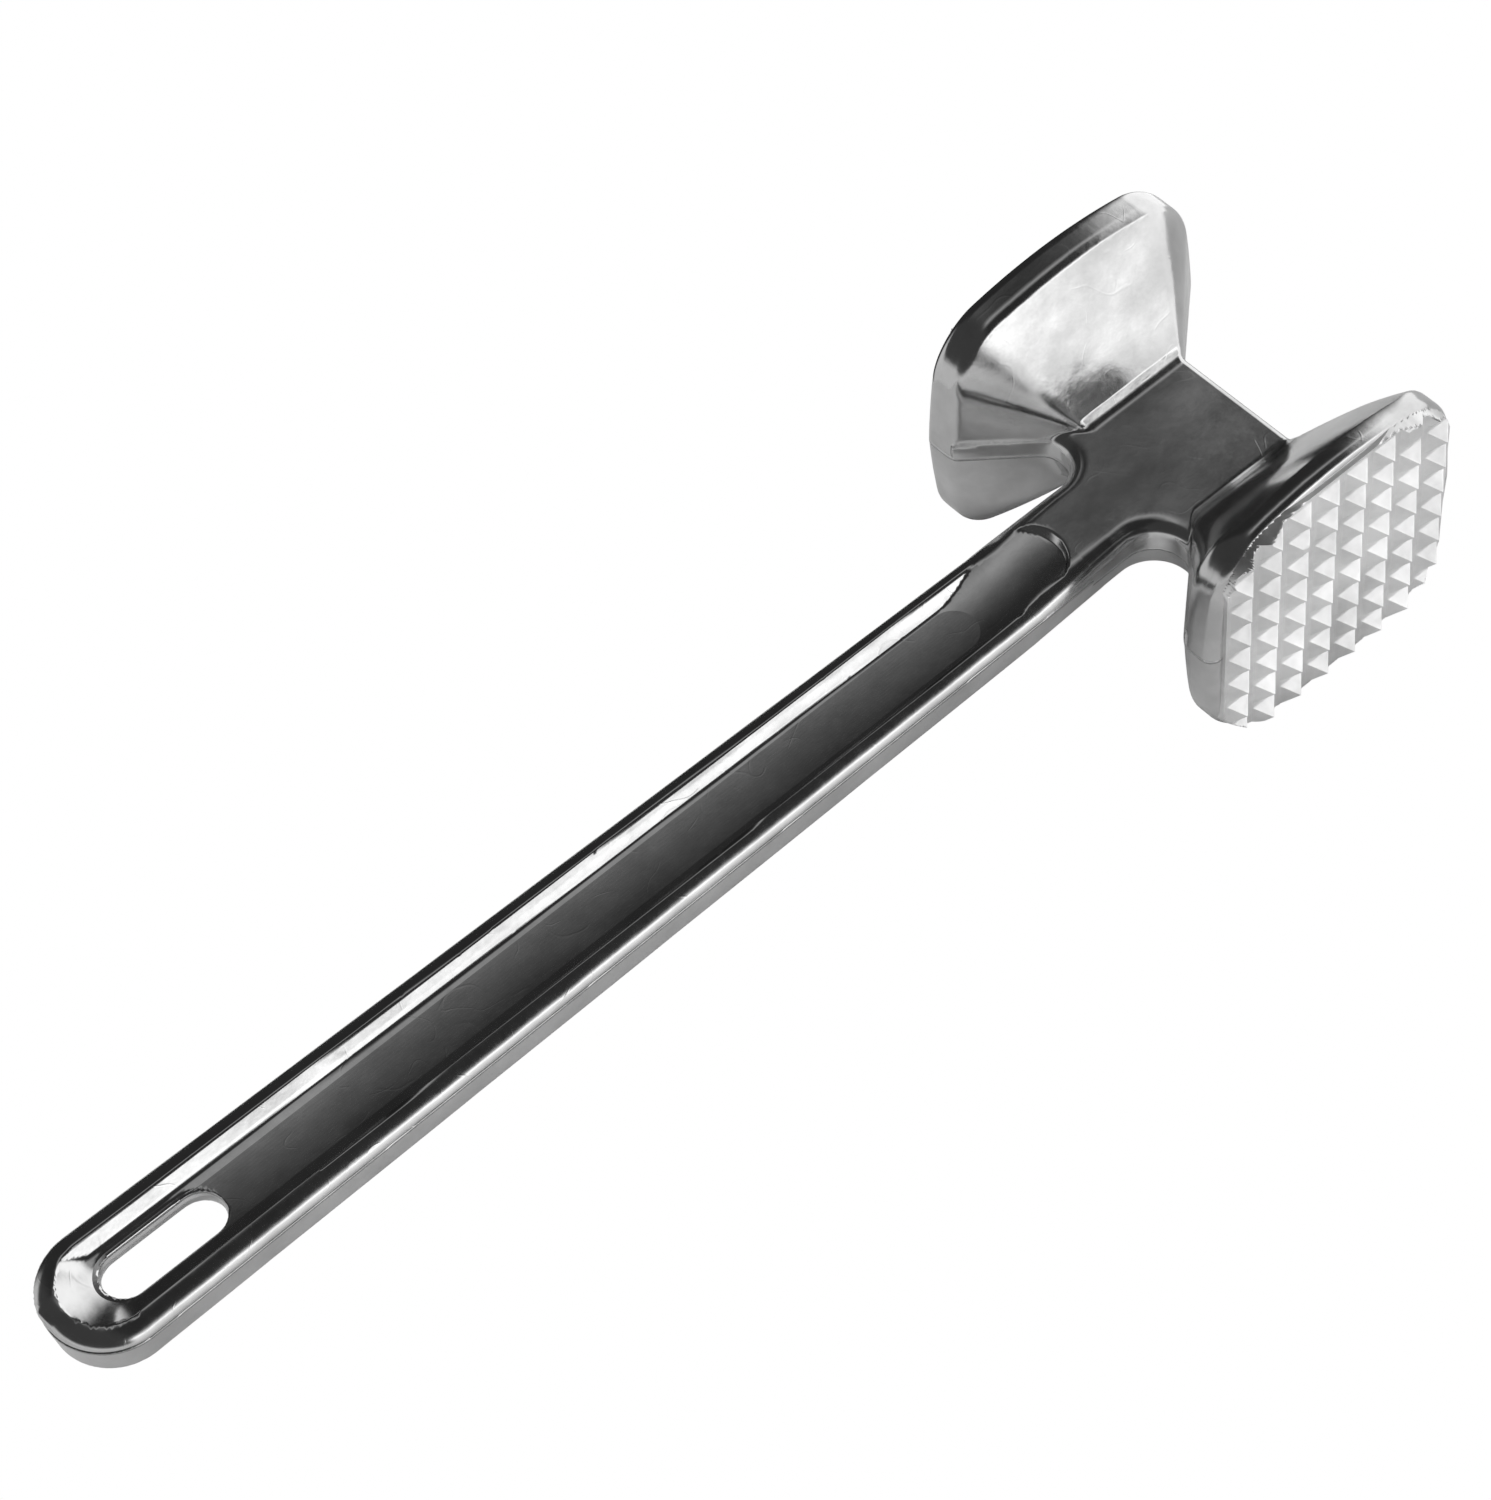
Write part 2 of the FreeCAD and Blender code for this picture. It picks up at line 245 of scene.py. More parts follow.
def edge_section(outline, x, y, z):
    """The bar's section: a rolled upper edge, a drafted lower wall and a small lower edge."""
    flat_share = np.clip((x - FLAT_START_X) / (FLAT_FULL_X - FLAT_START_X), 0, 1)
    crown_radius = CROWN_RADIUS + (EDGE_RADIUS - CROWN_RADIUS) * flat_share
    shift_s = (crown_radius - EDGE_RADIUS) * math.cos(CROWN_TURN)
    shift_h = (crown_radius - EDGE_RADIUS) * math.sin(CROWN_TURN)
    parting = PARTING_RISE * (1 - PARTING_FALL * flat_share)
    flat_start = HALF_THICKNESS - EDGE_RADIUS * (1 - math.sin(EDGE_TURN))
    edge_start = PARTING_RISE + (flat_start - PARTING_RISE) * flat_share
    shift = DIE_SHIFT * np.clip(y / DIE_SHIFT_FADE, 0, 1) * (1 - flat_share)
    shifted = outline - shift * ease((z - parting) / DIE_SHIFT_RUN)
    # the edge's circle and, further in and lower, the crown's; both measured from their centres
    edge_s = shifted + EDGE_RADIUS * math.cos(EDGE_TURN)
    edge_h = z - edge_start + EDGE_RADIUS * math.sin(EDGE_TURN)
    crown_s, crown_h = edge_s + shift_s, edge_h + shift_h
    rolled = np.hypot(edge_s, edge_h) - EDGE_RADIUS
    crowned = np.hypot(crown_s, crown_h) - crown_radius
    flat = crown_h - crown_radius
    over_edge = np.where(crown_s > 0, crowned, flat)
    upper = np.where(np.arctan2(crown_h, crown_s) < CROWN_TURN, rolled, over_edge)
    upper = np.where(z > edge_start, upper, shifted)
    draft = LOWER_DRAFT * (1 + LOWER_DRAFT_GAIN * flat_share)
    lower = round_max(outline - draft * (z - parting), -z - HALF_THICKNESS, LOWER_ROUND)
    return np.where(z > parting, upper, lower)


def casting_distance(x, y, z):
    """The whole casting without its teeth."""
    over = np.abs(z)
    bar = edge_section(neck_outline(x, y), x, y, z)

    climb = ease((x - CHANNEL_RISE_X) / (CHANNEL_HEAD_X - CHANNEL_RISE_X))
    end_climb = ease((LOOP_RISE_X - x) / LOOP_RISE_RUN)
    depth = CHANNEL_DEPTH - CHANNEL_RISE * climb - LOOP_RISE * end_climb
    depth = depth - y * y / (2 * CHANNEL_TROUGH_RADIUS)
    walls = tapered_slot(
        x, y - CHANNEL_OFFSET,
        CHANNEL_LOOP_X, CHANNEL_LOOP_RADIUS, CHANNEL_HEAD_X, CHANNEL_HEAD_RADIUS)
    lean = CHANNEL_LEAN + CHANNEL_LEAN_CHANGE * np.clip(y / CHANNEL_HEAD_RADIUS, -1, 1)
    walls = walls + lean * (CHANNEL_MOUTH_Z - over)
    pocket = round_max(walls * WALL_SCALE, HALF_THICKNESS - depth - over, CHANNEL_FLOOR_ROUND)
    bar = round_max(bar, -pocket, CHANNEL_MOUTH_ROUND)

    slot = tapered_slot(x, y - SLOT_OFFSET, SLOT_START_X, SLOT_RADIUS, SLOT_STOP_X, SLOT_RADIUS)
    mouth = tapered_slot(
        x, y, CHANNEL_LOOP_X, CHANNEL_LOOP_RADIUS, FUNNEL_STOP_X, FUNNEL_STOP_RADIUS)
    share = np.clip((over - FUNNEL_START) / (CHANNEL_MOUTH_Z - FUNNEL_START), 0, 1)
    share = share * np.clip(np.maximum(y, SLOT_START_X - x) / FUNNEL_FADE, 0, 1)
    draft = SLOT_DRAFT * np.minimum(over, SLOT_DRAFT_HEIGHT)
    slot = slot * (1 - share) + mouth * share - draft * (1 - share)
    bar = round_max(bar, -slot * SLOT_SCALE, SLOT_EDGE_ROUND)

    block = round_max(np.abs(x) - BLOCK_X + BLOCK_DRAFT * over, over - HALF_THICKNESS, BLOCK_CORNER)
    block = np.maximum(block, np.abs(y) - BLOCK_Y - BLOCK_OVERLAP)
    bar = np.minimum(bar, block)

    fine = plate_distance(x, y, z, FINE_FACE, RIM_INNER_Y)
    coarse = plate_distance(x, -y, z, COARSE_FACE, SHOULDER_Y)
    return round_min(round_min(bar, fine, PLATE_FILLET), coarse, PLATE_FILLET)


def gradient(function, points, step=0.02):
    """The function's gradient at each point."""
    slopes = []
    for axis in range(3):
        offset = np.zeros(3)
        offset[axis] = step
        ahead = function(*(points + offset).T)
        behind = function(*(points - offset).T)
        slopes.append((ahead - behind) / (2 * step))
    return np.stack(slopes, axis=1)


# ---------------------------------------------------------------- meshing
def surface_mesh(function, low, high, cell):
    """Vertices and quads of the function's zero surface inside a box, by surface nets."""
    counts = np.ceil((np.asarray(high) - low) / cell).astype(int) + 1
    axes = [low[i] + cell * np.arange(counts[i]) for i in range(3)]
    values = np.empty(counts, dtype=np.float32)
    y, z = np.meshgrid(axes[1], axes[2], indexing="ij")
    for start in range(0, counts[0], SLAB):
        x = axes[0][start:start + SLAB, None, None]
        values[start:start + SLAB] = function(x + 0 * y, y + 0 * x, z + 0 * x)
    inside = values < 0

    corner_sum = np.zeros(counts - 1, dtype=np.int8)
    for i, j, k in np.ndindex(2, 2, 2):
        corner_sum += inside[i:counts[0] - 1 + i, j:counts[1] - 1 + j, k:counts[2] - 1 + k]
    active = (corner_sum > 0) & (corner_sum < 8)
    index = np.full(counts - 1, -1, dtype=np.int64)
    index[active] = np.arange(active.sum())
    cells = np.argwhere(active)

    total = np.zeros((len(cells), 3))
    hits = np.zeros(len(cells))
    corners = {c: values[tuple((cells + c).T)] for c in np.ndindex(2, 2, 2)}
    for axis in range(3):
        others = [a for a in range(3) if a != axis]
        for first, second in np.ndindex(2, 2):
            start = [0, 0, 0]
            start[others[0]], start[others[1]] = first, second
            end = list(start)
            end[axis] = 1
            a, b = corners[tuple(start)], corners[tuple(end)]
            crossing = (a < 0) != (b < 0)
            part = np.where(crossing, a / np.where(crossing, a - b, 1), 0)
            point = np.tile(np.array(start, dtype=float), (len(cells), 1))
            point[:, axis] = part
            total += point * crossing[:, None]
            hits += crossing
    vertices = np.asarray(low) + cell * (cells + total / hits[:, None])

    quads = []
    for axis in range(3):
        others = [a for a in range(3) if a != axis]
        near = [slice(None)] * 3
        far = [slice(None)] * 3
        near[axis], far[axis] = slice(0, -1), slice(1, None)
        a, b = inside[tuple(near)], inside[tuple(far)]
        edges = np.argwhere(a != b)
        edges = edges[(edges[:, others[0]] > 0) & (edges[:, others[1]] > 0)]
        around = []
        for first, second in ((1, 1), (0, 1), (0, 0), (1, 0)):
            neighbour = edges.copy()
            neighbour[:, others[0]] -= first
            neighbour[:, others[1]] -= second
            around.append(index[tuple(neighbour.T)])
        quad = np.stack(around, axis=1)
        outward = a[tuple(edges.T)]
        if axis == 1:
            outward = ~outward
        quad[~outward] = quad[~outward][:, ::-1]
        quads.append(quad)
    return vertices, np.concatenate(quads)


def settle(function, vertices, rounds=4, reach=0.3):
    """Moves vertices along the gradient onto the zero surface."""
    for _ in range(rounds):
        slope = gradient(function, vertices)
        value = function(*vertices.T)
        size = np.maximum((slope * slope).sum(axis=1), 0.05)     # never near zero, even in a crease
        move = slope * (value / size)[:, None]
        length = np.linalg.norm(move, axis=1, keepdims=True)
        vertices = vertices - move * np.minimum(1, reach / np.maximum(length, 1e-9))
    return vertices


def mesh_object(name, vertices, faces):
    """A mesh object, from vertices in the casting's coordinates."""
    mesh = bpy.data.meshes.new(name)
    mesh.from_pydata(((vertices + HEAD) * MM).tolist(), [], faces.tolist())
    mesh.update()
    piece = bpy.data.objects.new(name, mesh)
    bpy.context.collection.objects.link(piece)
    return piece


def cut(source, name, planes):
    """A closed copy of the part of a mesh that lies inside the planes, each (axis, value, side)."""
    whole = bmesh.new()
    whole.from_mesh(source.data)
    for axis, value, side in planes:
        point, normal = Vector(HEAD * MM), Vector((0, 0, 0))
        point[axis] = (HEAD[axis] + value) * MM
        normal[axis] = side
        bmesh.ops.bisect_plane(
            whole, geom=whole.verts[:] + whole.edges[:] + whole.faces[:],
            plane_co=point, plane_no=normal, clear_outer=True)
        rim = [e for e in whole.edges if e.is_boundary]
        if rim:
            filled = bmesh.ops.edgeloop_fill(whole, edges=rim)
            for face in filled["faces"]:
                face.material_index = 0
                face.smooth = False
    bmesh.ops.recalc_face_normals(whole, faces=whole.faces[:])
    mesh = bpy.data.meshes.new(name)
    whole.to_mesh(mesh)
    whole.free()
    piece = bpy.data.objects.new(name, mesh)
    bpy.context.collection.objects.link(piece)
    return piece


def shade_by_function(piece, function, planes):
    """Gives each vertex the function's own normal, except on the flat joint faces."""
    mesh = piece.data
    count = len(mesh.vertices)
    places = np.empty(count * 3)
    mesh.vertices.foreach_get("co", places)
    points = places.reshape(-1, 3) / MM - HEAD
    normals = gradient(function, points)
    normals /= np.linalg.norm(normals, axis=1, keepdims=True)
    loop_vertex = np.empty(len(mesh.loops), dtype=np.int32)
    mesh.loops.foreach_get("vertex_index", loop_vertex)
    wanted = normals[loop_vertex]
    for polygon in mesh.polygons:
        centre = np.array(polygon.center) / MM - HEAD
        on_joint = any(abs(centre[axis] - value) < 1e-3 and abs(polygon.normal[axis]) > 0.999
                       for axis, value, _ in planes)
        polygon.use_smooth = not on_joint
        if on_joint:
            span = slice(polygon.loop_start, polygon.loop_start + polygon.loop_total)
            wanted[span] = polygon.normal
    mesh.normals_split_custom_set(wanted.tolist())


# ---------------------------------------------------------------- teeth
def soft_max(a, b, k):
    """The larger of two values, blended where they differ by less than k."""
    h = np.clip(0.5 + 0.5 * (a - b) / k, 0, 1)
    return b * (1 - h) + a * h + k * h * (1 - h)


def tooth_grid(pitch, across, height, steps, face, side, inset, dents):
    """A closed field of square pyramids, cut off just inside the rim's rounded edge.

    side is -1 for the coarse teeth and +1 for the fine ones; dents lowers chosen teeth."""
    half = pitch * across / 2
    lines = np.linspace(-half, half, across * steps + 1)
    x, z = np.meshgrid(lines, lines, indexing="ij")
    u = (x / pitch + across / 2) % 1 * 2 - 1
    w = (z / pitch + across / 2) % 1 * 2 - 1
    u = np.abs(np.where(np.isclose(u, -1) | np.isclose(u, 1), 1, u))
    w = np.abs(np.where(np.isclose(w, -1) | np.isclose(w, 1), 1, w))
    valley = height - TOOTH_BASE * pitch / 2
    rise = height - soft_max(u, w, RIDGE_BLEND) * pitch / 2
    rise = np.minimum(rise, height - TIP_FLAT)
    rise = soft_max(rise, valley + 0 * rise, VALLEY_BLEND)
    rise = dents(x, z, rise)
    inward = -rim_outline(x, z)
    cliff = -TOOTH_ROOT + (inward - inset) * CLIFF_SLOPE
    rise = np.where(cliff < rise, np.maximum(cliff, -TOOTH_ROOT), rise)
    kept = cliff > -TOOTH_ROOT + 1e-6

    rows = len(lines)
    number = np.arange(rows * rows).reshape(rows, rows)
    used = kept[:-1, :-1] & kept[1:, :-1] & kept[1:, 1:] & kept[:-1, 1:]
    a, b = number[:-1, :-1][used], number[1:, :-1][used]
    c, d = number[1:, 1:][used], number[:-1, 1:][used]
    mid_x = ((x[:-1, :-1] + x[1:, 1:]) / 2)[used]
    mid_z = ((z[:-1, :-1] + z[1:, 1:]) / 2)[used]
    du = (mid_x / pitch + across / 2) % 1 - 0.5
    dw = (mid_z / pitch + across / 2) % 1 - 0.5
    along = du * dw > 0
    top = np.concatenate([
        np.stack([a, b, c], 1)[along], np.stack([a, c, d], 1)[along],
        np.stack([a, b, d], 1)[~along], np.stack([b, c, d], 1)[~along]])

    # the flat bottom repeats the top's triangles; walls join the two along the outline
    under = top[:, ::-1] + rows * rows
    edges = np.concatenate([top[:, [0, 1]], top[:, [1, 2]], top[:, [2, 0]]])
    keys = edges[:, 0] * rows * rows + edges[:, 1]
    reverse = edges[:, 1] * rows * rows + edges[:, 0]
    border = edges[~np.isin(keys, reverse)]
    wall = np.concatenate([
        np.stack([border[:, 1], border[:, 0], border[:, 0] + rows * rows], 1),
        np.stack([border[:, 1], border[:, 0] + rows * rows, border[:, 1] + rows * rows], 1)])
    faces = np.concatenate([top, under, wall])
    upper = np.stack([x.ravel(), side * (face + rise).ravel(), z.ravel()], 1)
    lower = np.stack([x.ravel(), np.full(x.size, side * (face - TOOTH_ROOT)), z.ravel()], 1)
    vertices = np.concatenate([upper, lower])
    if side > 0:
        faces = faces[:, ::-1]
    wanted, faces = np.unique(faces, return_inverse=True)
    return vertices[wanted], faces.reshape(-1, 3)


def no_dents(x, z, rise):
    """Leaves every tooth whole."""
    return rise


def coarse_dents(x, z, rise):
    """Two teeth that did not come out whole: one slumped, one knocked flat on a slant."""
    for at_x, at_z, keep in DENTS:
        cell_x, cell_z = at_x * COARSE_PITCH, at_z * COARSE_PITCH
        near = (np.abs(x - cell_x) < COARSE_PITCH / 2) & (np.abs(z - cell_z) < COARSE_PITCH / 2)
        slant = COARSE_HEIGHT * keep + DENT_SLANT * (x - cell_x) * (1 - keep)
        rise = np.where(near, np.minimum(rise, slant), rise)
    return rise


# ---------------------------------------------------------------- materials
# four sets of bent scratches: how far each is turned, how tightly it bends, how wide its lines are
SCRATCHES = ((0.5, 1.0, 0.015), (1.9, 0.8, 0.012), (2.7, 1.2, 0.012), (4.4, 1.5, 0.010))


def grey(level):
    """An opaque colour."""
    return (level, level, level, 1)


def node(tree, kind, **inputs):
    """A new node; each keyword names one of its inputs."""
    made = tree.nodes.new(kind)
    for key, value in inputs.items():
        made.inputs[key.replace("_", " ")].default_value = value
    return made


def math_node(tree, operation, first, second):
    """A maths node; each input is a socket or a number."""
    made = tree.nodes.new("ShaderNodeMath")
    made.operation = operation
    for socket, value in zip(made.inputs, (first, second)):
        if isinstance(value, (int, float)):
            socket.default_value = value
        else:
            tree.links.new(value, socket)
    return made.outputs["Value"]


def map_range(tree, value, from_min, from_max, to_min, to_max, kind="LINEAR"):
    """Maps a socket's value from one range to another, clamped."""
    made = node(
        tree, "ShaderNodeMapRange",
        From_Min=from_min, From_Max=from_max, To_Min=to_min, To_Max=to_max)
    made.interpolation_type = kind
    tree.links.new(value, made.inputs["Value"])
    return made.outputs["Result"]


def noise(tree, vector, scale, detail, roughness):
    """Smooth noise between 0 and 1."""
    made = node(tree, "ShaderNodeTexNoise", Scale=scale, Detail=detail, Roughness=roughness)
    tree.links.new(vector, made.inputs["Vector"])
    return made.outputs["Fac"]


def bump(tree, height, normal, strength, distance):
    """A bump on top of an earlier one, or on the bare surface."""
    made = node(tree, "ShaderNodeBump", Strength=strength, Distance=distance)
    tree.links.new(height, made.inputs["Height"])
    if normal is not None:
        tree.links.new(normal, made.inputs["Normal"])
    return made.outputs["Normal"]


def aluminium(name, tone_low, tone_high, roughness, spread, unevenness, waves, parting=None):
    """Bare aluminium: clouded in tone, uneven, wavy, and finely scratched.

    waves is how deep its waves are, in metres, and parting the height of the die's parting
    line, a fine raised line round the piece."""
    material = bpy.data.materials.new(name)
    material.use_nodes = True
    tree = material.node_tree
    links = tree.links
    shader = tree.nodes["Principled BSDF"]
    shader.inputs["Metallic"].default_value = 1.0
    where = tree.nodes.new("ShaderNodeTexCoord").outputs["Object"]

    cloud = noise(tree, where, scale=75.0, detail=8.0, roughness=0.62)
    clouds = map_range(tree, cloud, 0.36, 0.62, 0.0, 1.0)
    tone = tree.nodes.new("ShaderNodeValToRGB")
    tone.color_ramp.elements[0].color = grey(tone_low)
    tone.color_ramp.elements[1].color = grey(tone_high)
    links.new(clouds, tone.inputs["Fac"])
    links.new(tone.outputs["Color"], shader.inputs["Base Color"])

    grain = noise(tree, where, scale=900.0, detail=4.0, roughness=0.7)
    uneven = map_range(tree, grain, 0.3, 0.7, roughness - spread, roughness + spread)
    links.new(uneven, shader.inputs["Roughness"])

    normal = None
    for scale, detail, distance in ((50.0, 0.0, waves), (130.0, 1.0, 0.0004), (600.0, 2.0, 0.00005)):
        dips = noise(tree, where, scale, detail, roughness=0.5)
        normal = bump(tree, dips, normal, unevenness, distance)
    for turn, bend, width in SCRATCHES:
        place = tree.nodes.new("ShaderNodeMapping")
        place.inputs["Location"].default_value = (turn, 2 * turn, 0.3 * turn)
        place.inputs["Rotation"].default_value = (0.0, 0.0, turn)
        links.new(where, place.inputs["Vector"])
        bent = noise(tree, place.outputs["Vector"], 45.0 * bend, detail=2.0, roughness=0.5)
        line = math_node(tree, "ABSOLUTE", math_node(tree, "SUBTRACT", bent, 0.5), 0.0)
        breaks = noise(tree, place.outputs["Vector"], 160.0, detail=1.0, roughness=0.5)
        broken = map_range(tree, breaks, 0.53, 0.60, 0.0, 1.0)
        groove = map_range(tree, line, 0.0, width * 0.35, 1.0, 0.0)
        scratch = math_node(tree, "MULTIPLY", groove, broken)
        normal = bump(tree, scratch, normal, strength=0.3, distance=0.00002)
    if parting is not None:
        parts = tree.nodes.new("ShaderNodeSeparateXYZ")
        links.new(where, parts.inputs["Vector"])
        away = math_node(tree, "SUBTRACT", parts.outputs["Z"], parting)
        away = math_node(tree, "ABSOLUTE", away, 0.0)
        ridge = map_range(tree, away, 0.0, 0.00035, 1.0, 0.0)
        normal = bump(tree, ridge, normal, strength=0.8, distance=0.00025)
    links.new(normal, shader.inputs["Normal"])
    return material


def finish_piece(piece, material, nodes):
    """Gives a piece its metal, hangs it on the root body, and hides the CAD nodes it stands for."""
    piece.data.materials.clear()
    piece.data.materials.append(material)
    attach(piece, "root")
    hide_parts(*nodes)


# ---------------------------------------------------------------- the mallet
def build_mallet():
    """One surface, cut on the joint planes into regions, and the two fields of teeth."""
    head_height = HEAD[2] * MM
    plates = aluminium(
        "polished_plates", tone_low=0.54, tone_high=0.70, roughness=0.16, spread=0.03,
        unevenness=0.35, waves=0.0045, parting=head_height)
    handle = aluminium(
        "polished_handle", tone_low=0.56, tone_high=0.70, roughness=0.16, spread=0.03,
        unevenness=0.25, waves=0.001, parting=head_height + PARTING_RISE * MM)
    cast = aluminium(
        "cast_teeth", tone_low=0.74, tone_high=0.96, roughness=0.36, spread=0.05,
        unevenness=0.35, waves=0.001)

    margin = 2 * CELL
    low = np.array([LOOP_LOW[0], -COARSE_TIP, -RIM_Z]) - margin
    high = np.array([RIM_X, FINE_TIP, RIM_Z]) + margin
    vertices, quads = surface_mesh(casting_distance, low, high, CELL)
    vertices = settle(casting_distance, vertices)
    whole = mesh_object("casting", vertices, quads)

    # the planes that bound each region: axis, place, and the side that is cut away
    head_side, neck_front = NECK_X, -BLOCK_X
    joints = {
        "hanging_loop": [(0, LOOP_X, 1)],
        "handle_bar": [(0, LOOP_X, -1), (0, head_side, 1)],
        "neck": [(0, head_side, -1), (0, neck_front, 1), (1, BLOCK_Y, 1), (1, -BLOCK_Y, -1)],
        "head_block": [(0, neck_front, -1), (1, BLOCK_Y, 1), (1, -BLOCK_Y, -1)],
        "fine_plate": [(0, head_side, -1), (1, BLOCK_Y, -1)],
        "coarse_plate": [(0, head_side, -1), (1, -BLOCK_Y, 1)],
    }
    for name, planes in joints.items():
        piece = cut(whole, "cast_" + name, planes)
        shade_by_function(piece, casting_distance, planes)
        material = handle if name in ("hanging_loop", "handle_bar") else plates
        finish_piece(piece, material, [name])
    bpy.data.objects.remove(whole)

    fields = (
        ("coarse_teeth", COARSE_PITCH, COARSE_ACROSS, COARSE_HEIGHT, COARSE_STEPS, COARSE_FACE, -1,
         COARSE_INSET, coarse_dents),
        ("fine_teeth", FINE_PITCH, FINE_ACROSS, FINE_HEIGHT, FINE_STEPS, FINE_FACE, 1,
         FINE_INSET, no_dents),
    )
    for name, pitch, across, height, steps, face, side, inset, dents in fields:
        vertices, faces = tooth_grid(pitch, across, height, steps, face, side, inset, dents)
        piece = mesh_object("cast_" + name, vertices, faces)
        finish_piece(piece, cast, [name])


# ---------------------------------------------------------------- floor, light and camera
# metres and degrees; the room's strips are (angle from the front horizon, brightness)
FLOOR_LEFT, FLOOR_RIGHT, FLOOR_FRONT, FLOOR_BACK = -0.6, 0.5, -0.6, 0.07
STRIPS = (
    (0, 0.60), (12, 0.80), (19, 0.9), (24, 1.4), (28, 1.4), (31, 0.6), (36, 0.2), (41, 0.022),
    (80, 0.022), (89, 0.16), (98, 0.32), (108, 0.17), (117, 0.075), (121, 0.065), (126, 0.035),
    (134, 0.02), (180, 0.022),
)
ROOM_STRENGTH = 1.3
LAMP_SIZE, LAMP_POWER = 1.2, 10.0
LAMP_AIM, LAMP_DISTANCE = (-0.05, 0.05, 1.00), 1.5
CAMERA_AZIMUTH, CAMERA_ELEVATION, CAMERA_ROLL = -37.34, 54.34, -5.87
CAMERA_DISTANCE, CAMERA_ACROSS, CAMERA_ABOVE = 0.7066, 0.06604, 0.04379     # from the head's middle
LENS, SENSOR_HEIGHT = 75.695, 24.0                                          # millimetres


def build_floor():
    """A pale floor: matt to the metal that mirrors it, plain white to the camera."""
    material = bpy.data.materials.new("pale_floor")
    material.use_nodes = True
    tree = material.node_tree
    shader = tree.nodes["Principled BSDF"]
    shader.inputs["Base Color"].default_value = grey(0.86)
    shader.inputs["Roughness"].default_value = 0.9
    path = tree.nodes.new("ShaderNodeLightPath")
    white = tree.nodes.new("ShaderNodeEmission")
    white.inputs["Color"].default_value = grey(1)
    white.inputs["Strength"].default_value = 1.0
    mix = tree.nodes.new("ShaderNodeMixShader")
    tree.links.new(path.outputs["Is Camera Ray"], mix.inputs["Fac"])
    tree.links.new(shader.outputs["BSDF"], mix.inputs[1])
    tree.links.new(white.outputs["Emission"], mix.inputs[2])
    tree.links.new(mix.outputs["Shader"], tree.nodes["Material Output"].inputs["Surface"])
    mesh = bpy.data.meshes.new("floor")
    corners = [
        (FLOOR_LEFT, FLOOR_FRONT, 0), (FLOOR_RIGHT, FLOOR_FRONT, 0),
        (FLOOR_RIGHT, FLOOR_BACK, 0), (FLOOR_LEFT, FLOOR_BACK, 0)]
    mesh.from_pydata(corners, [], [(0, 1, 2, 3)])
    mesh.materials.append(material)
    floor = bpy.data.objects.new("floor", mesh)
    bpy.context.collection.objects.link(floor)


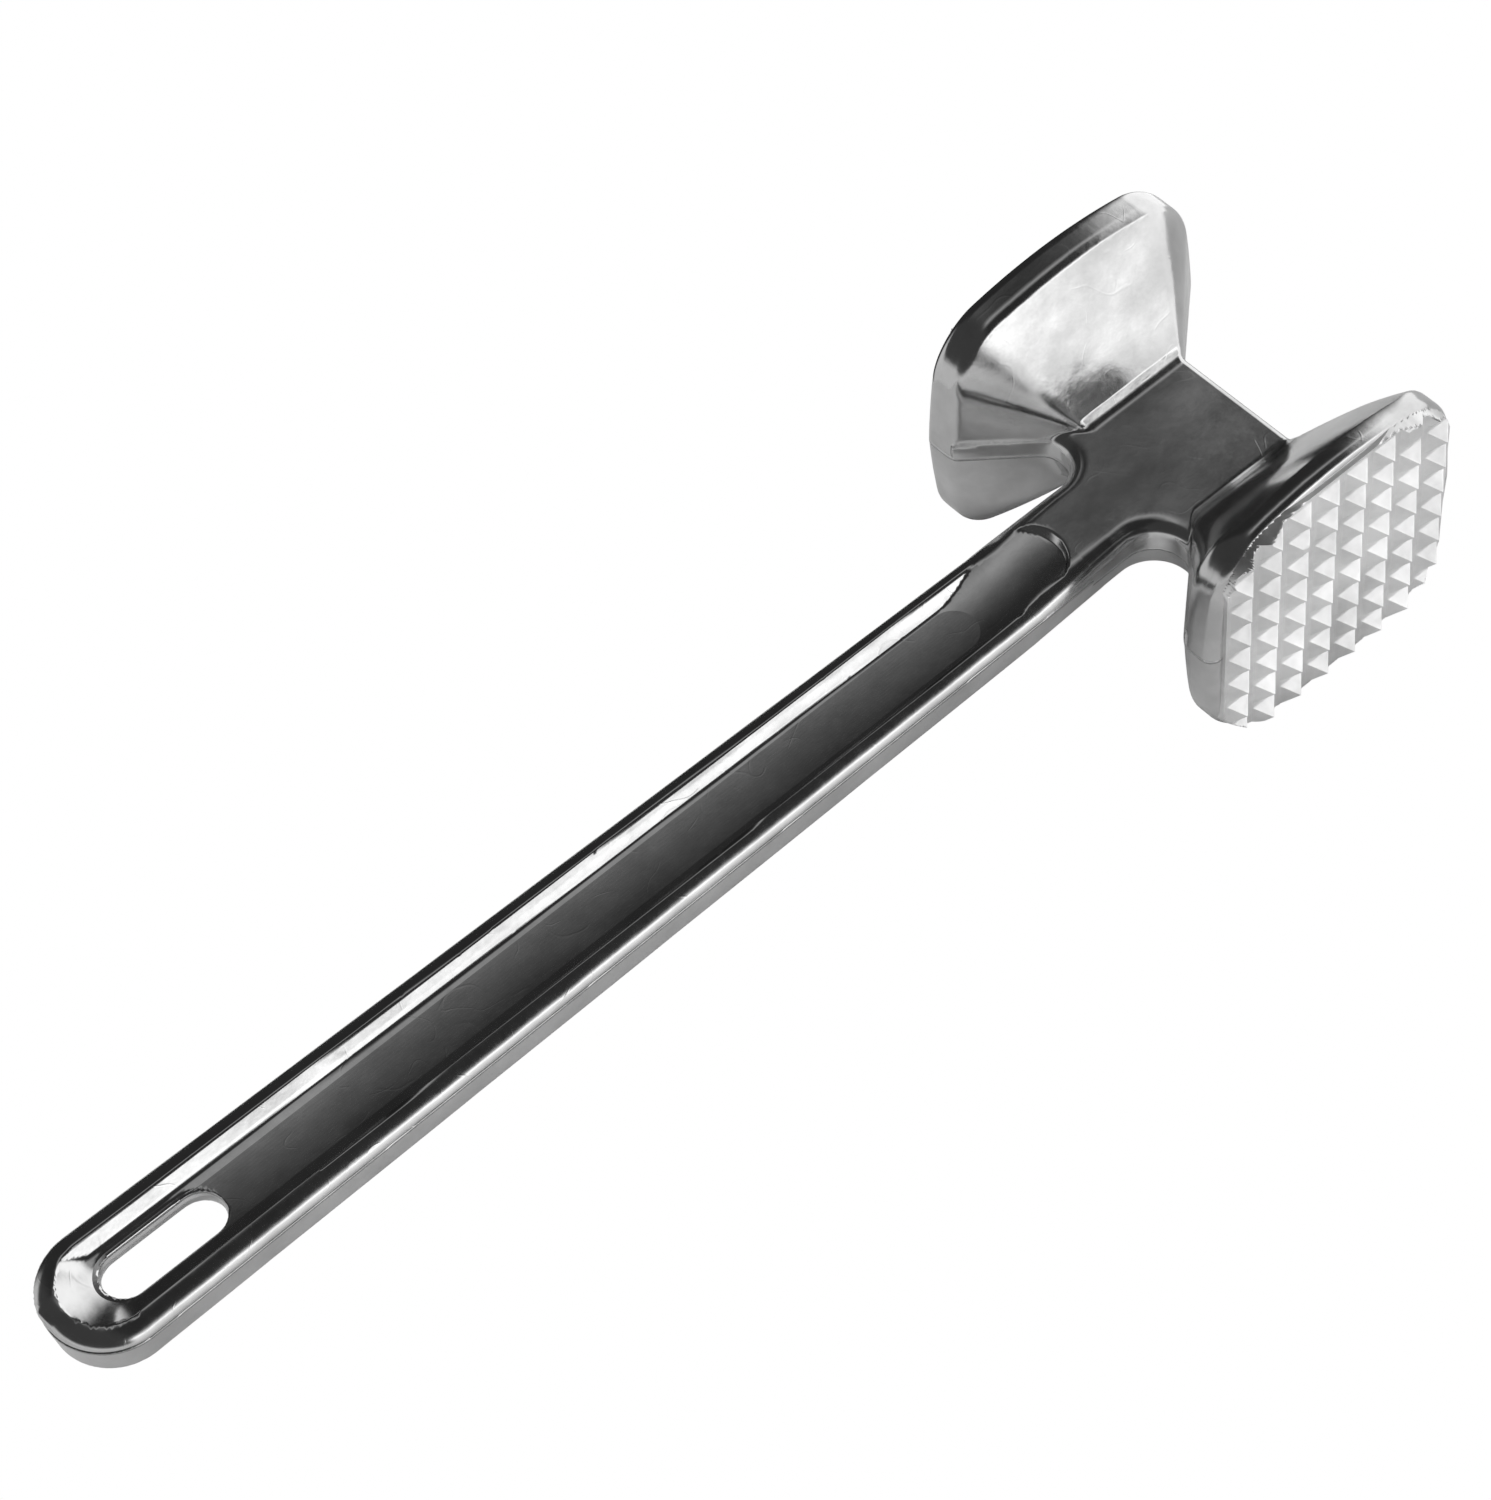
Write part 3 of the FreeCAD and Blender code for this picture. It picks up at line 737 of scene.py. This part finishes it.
def build_world():
    """A room of long soft strips, seen by their angle about the X axis, with its two ends apart."""
    world = bpy.data.worlds.new("studio")
    bpy.context.scene.world = world
    world.use_nodes = True
    tree = world.node_tree
    links = tree.links
    coordinates = tree.nodes.new("ShaderNodeTexCoord")
    parts = tree.nodes.new("ShaderNodeSeparateXYZ")
    links.new(coordinates.outputs["Generated"], parts.inputs["Vector"])
    x, y, z = (parts.outputs[name] for name in "XYZ")

    # 0 at the front horizon (-Y), 0.5 overhead, 1 at the back horizon
    height = math_node(tree, "ABSOLUTE", z, 0.0)
    front = math_node(tree, "MULTIPLY", y, -1.0)
    turn = math_node(tree, "ARCTAN2", height, front)
    turn = math_node(tree, "DIVIDE", turn, math.pi)
    strips = tree.nodes.new("ShaderNodeValToRGB")
    links.new(turn, strips.inputs["Fac"])
    ramp = strips.color_ramp
    for index, (angle, level) in enumerate(STRIPS):
        if index < 2:
            stop = ramp.elements[index]
            stop.position = angle / 180
        else:
            stop = ramp.elements.new(angle / 180)
        stop.color = grey(level)

    # the -X end is lit only near the horizon, and the +X end is white
    low_end = map_range(tree, x, -0.38, -0.12, 1.0, 0.0, "SMOOTHSTEP")
    horizon = map_range(tree, z, 0.08, 0.22, 0.5, 0.04, "SMOOTHSTEP")
    high_end = map_range(tree, x, 0.55, 0.75, 0.0, 1.0, "SMOOTHSTEP")

    near_end = tree.nodes.new("ShaderNodeMix")
    near_end.data_type = "RGBA"
    links.new(low_end, near_end.inputs["Factor"])
    links.new(strips.outputs["Color"], near_end.inputs["A"])
    links.new(horizon, near_end.inputs["B"])
    far_end = tree.nodes.new("ShaderNodeMix")
    far_end.data_type = "RGBA"
    links.new(high_end, far_end.inputs["Factor"])
    links.new(near_end.outputs["Result"], far_end.inputs["A"])
    far_end.inputs["B"].default_value = grey(1)
    background = tree.nodes["Background"]
    links.new(far_end.outputs["Result"], background.inputs["Color"])
    background.inputs["Strength"].default_value = ROOM_STRENGTH
    backdrop = tree.nodes.new("ShaderNodeBackground")
    backdrop.inputs["Color"].default_value = grey(1)
    path = tree.nodes.new("ShaderNodeLightPath")
    mix = tree.nodes.new("ShaderNodeMixShader")
    links.new(path.outputs["Is Camera Ray"], mix.inputs["Fac"])
    links.new(background.outputs["Background"], mix.inputs[1])
    links.new(backdrop.outputs["Background"], mix.inputs[2])
    links.new(mix.outputs["Shader"], tree.nodes["World Output"].inputs["Surface"])


def build_lights():
    """One soft lamp lights the floor; the metal mirrors the room and the floor, but not the lamp."""
    data = bpy.data.lights.new("floor_lamp", "AREA")
    data.shape = "DISK"
    data.size = LAMP_SIZE
    data.energy = LAMP_POWER
    lamp = bpy.data.objects.new("floor_lamp", data)
    aim = Vector(LAMP_AIM).normalized()
    lamp.location = aim * LAMP_DISTANCE
    lamp.rotation_euler = aim.to_track_quat("Z", "Y").to_euler()
    lamp.visible_glossy = False
    bpy.context.collection.objects.link(lamp)


def build_camera():
    """The camera looks past the head from in front and above, a little off level."""
    azimuth, elevation = math.radians(CAMERA_AZIMUTH), math.radians(CAMERA_ELEVATION)
    roll = math.radians(CAMERA_ROLL)
    back = Vector((
        math.sin(azimuth) * math.cos(elevation),
        -math.cos(azimuth) * math.cos(elevation),
        math.sin(elevation)))
    level_right = Vector((0, 0, 1)).cross(back).normalized()
    level_up = back.cross(level_right)
    right = level_right * math.cos(roll) + level_up * math.sin(roll)
    up = level_up * math.cos(roll) - level_right * math.sin(roll)
    place = Vector(HEAD * MM) + back * CAMERA_DISTANCE - right * CAMERA_ACROSS - up * CAMERA_ABOVE
    data = bpy.data.cameras.new("camera")
    data.sensor_fit = "VERTICAL"
    data.sensor_height = SENSOR_HEIGHT
    data.lens = LENS
    data.clip_start = 0.01
    camera = bpy.data.objects.new("camera", data)
    turn = Matrix((right, up, back)).transposed()
    camera.matrix_world = Matrix.Translation(place) @ turn.to_4x4()
    bpy.context.collection.objects.link(camera)
    bpy.context.scene.camera = camera


build_mallet()
build_floor()
build_world()
build_lights()
build_camera()
bpy.context.scene.view_settings.view_transform = "Standard"
